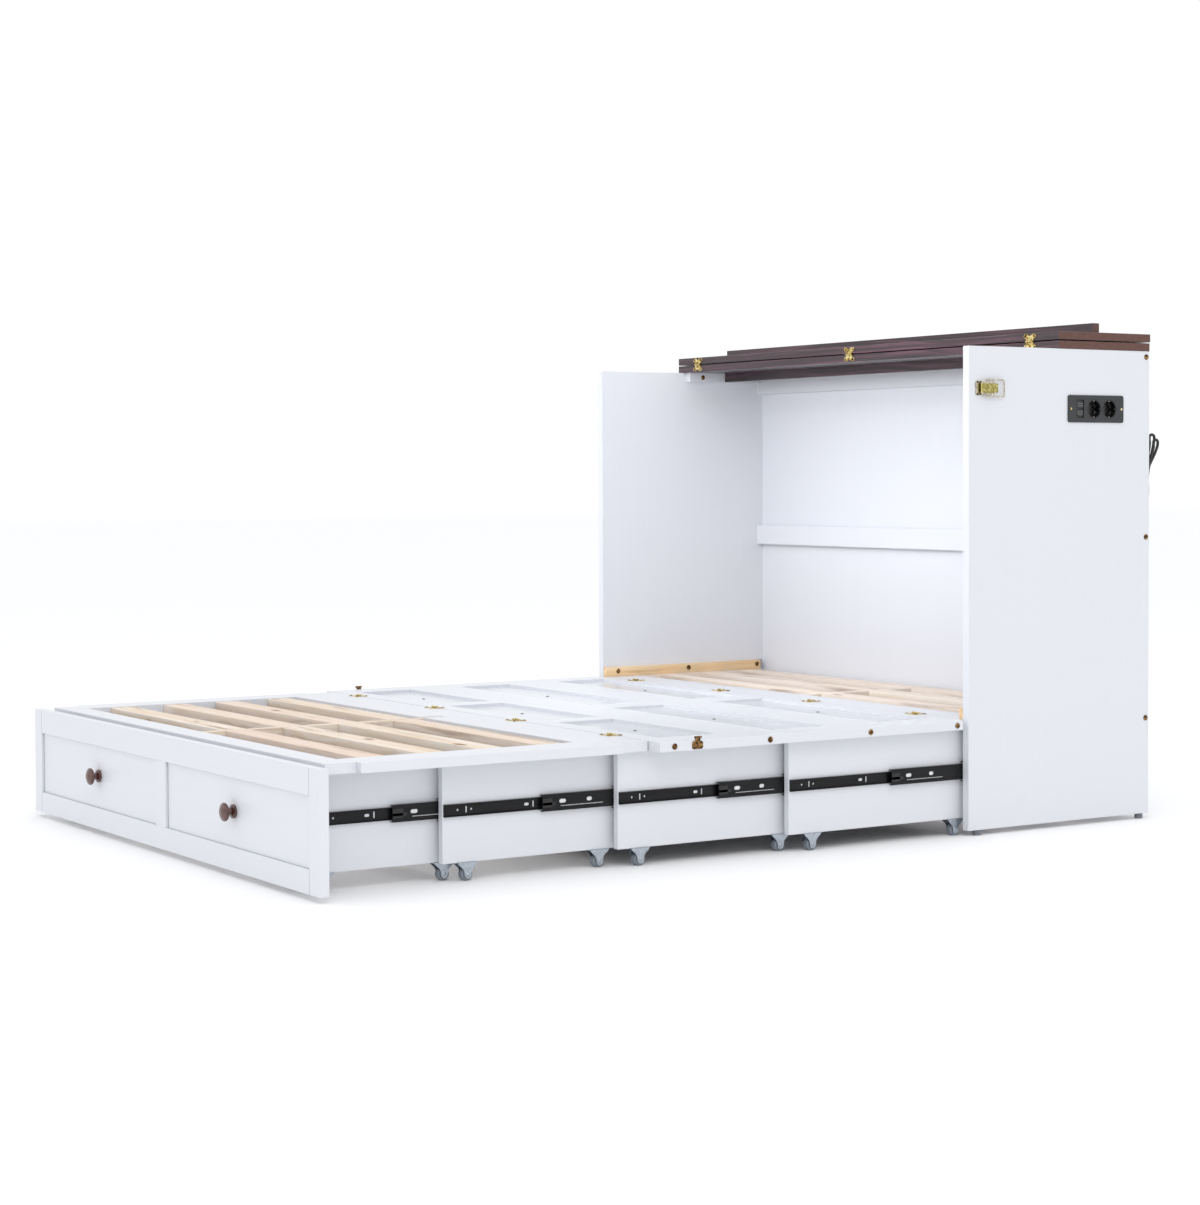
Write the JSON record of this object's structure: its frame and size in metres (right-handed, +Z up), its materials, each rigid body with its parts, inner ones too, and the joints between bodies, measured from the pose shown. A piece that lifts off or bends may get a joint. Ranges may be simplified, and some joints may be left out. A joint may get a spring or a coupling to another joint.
{
  "type": "murphy wall bed",
  "caption": "Cabinet bed: a chest whose hinged decks and telescopic base on casters fold out into a double bed, with a folding top, side latches and a socket panel.",
  "frame": {"origin": "centre of the footprint at floor level, bed fully open", "axes": "+X to the right seen from the foot of the bed, +Y from the foot end towards the cabinet's back, +Z up"},
  "size_m": [1.482, 2.173, 1.111],
  "materials": {
    "white_lacquer": "satin",
    "walnut_stain": "satin",
    "pine": "matte",
    "brass": "satin",
    "slide_steel": "semi-gloss",
    "fork_steel": "satin",
    "wheel_plastic": "matte",
    "knob_wood": "gloss",
    "foot_plastic": "matte",
    "socket_plastic": "gloss",
    "cord_black": "matte"
  },
  "bodies": {
    "cabinet": {"side_panel_left": "white_lacquer", "side_panel_right": "white_lacquer", "back_panel": "white_lacquer", "back_rails": "white_lacquer", "cabinet_feet": "foot_plastic", "cabinet_bolts": "brass", "top_cleats": "white_lacquer", "deck_cleats": "pine", "top_rear_leaf": "walnut_stain", "rear_deck_rail": "white_lacquer", "rear_deck_slats": "pine", "socket_unit": "socket_plastic", "latch_bases": "brass", "cabinet_hinges": "brass", "slide_rails_cabinet": "slide_steel", "cord_outlet": "cord_black", "cord_lead": "cord_black", "cord_hank": "cord_black", "cord_plug": "cord_black"},
    "top_front": {"top_front_leaf": "walnut_stain", "top_front_hinges": "brass"},
    "middle_deck": {"middle_frame": "white_lacquer", "middle_panels": "white_lacquer", "middle_strips": "white_lacquer", "middle_fittings": "brass", "middle_knobs": "knob_wood", "middle_hinges": "brass"},
    "front_deck": {"front_frame": "white_lacquer", "front_slats": "pine", "front_hinges": "brass"},
    "lever_left": {"latch_lever_left": "brass"},
    "lever_right": {"latch_lever_right": "brass"},
    "bail_left": {"latch_bail_left": "brass"},
    "bail_right": {"latch_bail_right": "brass"},
    "section_4": {"section_4_box": "white_lacquer", "section_4_rails": "slide_steel", "section_4_forks": "fork_steel"},
    "slide_4": {"slide_4_middle": "slide_steel"},
    "wheels_4_front": {"wheels_4_front": "wheel_plastic"},
    "wheels_4_rear": {"wheels_4_rear": "wheel_plastic"},
    "section_3": {"section_3_box": "white_lacquer", "section_3_rails": "slide_steel", "section_3_forks": "fork_steel"},
    "slide_3": {"slide_3_middle": "slide_steel"},
    "wheels_3_front": {"wheels_3_front": "wheel_plastic"},
    "wheels_3_rear": {"wheels_3_rear": "wheel_plastic"},
    "section_2": {"section_2_box": "white_lacquer", "section_2_rails": "slide_steel", "section_2_forks": "fork_steel"},
    "slide_2": {"slide_2_middle": "slide_steel"},
    "wheels_2_front": {"wheels_2_front": "wheel_plastic"},
    "wheels_2_rear": {"wheels_2_rear": "wheel_plastic"},
    "section_1": {"section_1_box": "white_lacquer", "section_1_rails": "slide_steel", "section_1_forks": "fork_steel", "drawer_front": "white_lacquer", "drawer_knobs": "knob_wood"},
    "slide_1": {"slide_1_middle": "slide_steel"},
    "wheels_1_front": {"wheels_1_front": "wheel_plastic"},
    "wheels_1_rear": {"wheels_1_rear": "wheel_plastic"}
  },
  "joints": [
    {"name": "top_leaf_fold", "type": "hinge", "parent": "cabinet", "child": "top_front", "pos_m": [0, 0.771, 1.069], "axis": [1, 0, 0], "range_deg": [0, 180]},
    {"name": "deck_fold", "type": "hinge", "parent": "cabinet", "child": "middle_deck", "pos_m": [0, 0.5165, 0.2525], "axis": [1, 0, 0], "range_deg": [-90, 0]},
    {"name": "front_deck_fold", "type": "hinge", "parent": "middle_deck", "child": "front_deck", "pos_m": [0, -0.282, 0.2525], "axis": [1, 0, 0], "range_deg": [-180, 0]},
    {"name": "section_4_slide", "type": "slide", "parent": "cabinet", "child": "section_4", "axis": [0, 1, 0], "range_m": [-0.0005, 0.4585]},
    {"name": "slide_4_travel", "type": "slide", "parent": "cabinet", "child": "slide_4", "axis": [0, 1, 0], "range_m": [-0.0005, 0.1975]},
    {"name": "wheels_4_front_spin", "type": "hinge", "parent": "section_4", "child": "wheels_4_front", "pos_m": [0, 0.1195, 0.0125], "axis": [1, 0, 0], "continuous": true},
    {"name": "wheels_4_rear_spin", "type": "hinge", "parent": "section_4", "child": "wheels_4_rear", "pos_m": [0, 0.5055, 0.0125], "axis": [1, 0, 0], "continuous": true},
    {"name": "section_3_slide", "type": "slide", "parent": "section_4", "child": "section_3", "axis": [0, 1, 0], "range_m": [-0.0005, 0.4015]},
    {"name": "slide_3_travel", "type": "slide", "parent": "section_4", "child": "slide_3", "axis": [0, 1, 0], "range_m": [-0.0005, 0.1665]},
    {"name": "wheels_3_front_spin", "type": "hinge", "parent": "section_3", "child": "wheels_3_front", "pos_m": [0, -0.2895, 0.0125], "axis": [1, 0, 0], "continuous": true},
    {"name": "wheels_3_rear_spin", "type": "hinge", "parent": "section_3", "child": "wheels_3_rear", "pos_m": [0, 0.0575, 0.0125], "axis": [1, 0, 0], "continuous": true},
    {"name": "section_2_slide", "type": "slide", "parent": "section_3", "child": "section_2", "axis": [0, 1, 0], "range_m": [-0.0005, 0.3815]},
    {"name": "slide_2_travel", "type": "slide", "parent": "section_3", "child": "slide_2", "axis": [0, 1, 0], "range_m": [-0.0005, 0.1665]},
    {"name": "wheels_2_front_spin", "type": "hinge", "parent": "section_2", "child": "wheels_2_front", "pos_m": [0, -0.6685, 0.0125], "axis": [1, 0, 0], "continuous": true},
    {"name": "wheels_2_rear_spin", "type": "hinge", "parent": "section_2", "child": "wheels_2_rear", "pos_m": [0, -0.3685, 0.0125], "axis": [1, 0, 0], "continuous": true},
    {"name": "section_1_slide", "type": "slide", "parent": "section_2", "child": "section_1", "axis": [0, 1, 0], "range_m": [-0.0005, 0.2815]},
    {"name": "slide_1_travel", "type": "slide", "parent": "section_2", "child": "slide_1", "axis": [0, 1, 0], "range_m": [-0.0005, 0.1005]},
    {"name": "wheels_1_front_spin", "type": "hinge", "parent": "section_1", "child": "wheels_1_front", "pos_m": [0, -0.9615, 0.0125], "axis": [1, 0, 0], "continuous": true},
    {"name": "wheels_1_rear_spin", "type": "hinge", "parent": "section_1", "child": "wheels_1_rear", "pos_m": [0, -0.7045, 0.0125], "axis": [1, 0, 0], "continuous": true},
    {"name": "latch_lever_right_turn", "type": "hinge", "parent": "cabinet", "child": "lever_right", "pos_m": [0.737, 0.5485, 0.96], "axis": [0, 0, -1], "range_deg": [0, 100]},
    {"name": "latch_bail_right_turn", "type": "hinge", "parent": "lever_right", "child": "bail_right", "pos_m": [0.737, 0.5605, 0.96], "axis": [0, 0, 1], "range_deg": [-178, 0]},
    {"name": "latch_lever_left_turn", "type": "hinge", "parent": "cabinet", "child": "lever_left", "pos_m": [-0.737, 0.5485, 0.96], "axis": [0, 0, 1], "range_deg": [0, 100]},
    {"name": "latch_bail_left_turn", "type": "hinge", "parent": "lever_left", "child": "bail_left", "pos_m": [-0.737, 0.5605, 0.96], "axis": [0, 0, -1], "range_deg": [-178, 0]}
  ],
  "couplings": [
    {"joint": "section_4_slide", "follows": "deck_fold", "m_per_rad": -0.29157},
    {"joint": "slide_4_travel", "follows": "deck_fold", "m_per_rad": -0.12541},
    {"joint": "section_3_slide", "follows": "deck_fold", "m_per_rad": -0.25528},
    {"joint": "slide_3_travel", "follows": "deck_fold", "m_per_rad": -0.10568},
    {"joint": "section_2_slide", "follows": "deck_fold", "m_per_rad": -0.24255},
    {"joint": "slide_2_travel", "follows": "deck_fold", "m_per_rad": -0.10568},
    {"joint": "section_1_slide", "follows": "deck_fold", "m_per_rad": -0.17889},
    {"joint": "slide_1_travel", "follows": "deck_fold", "m_per_rad": -0.063662}
  ]
}
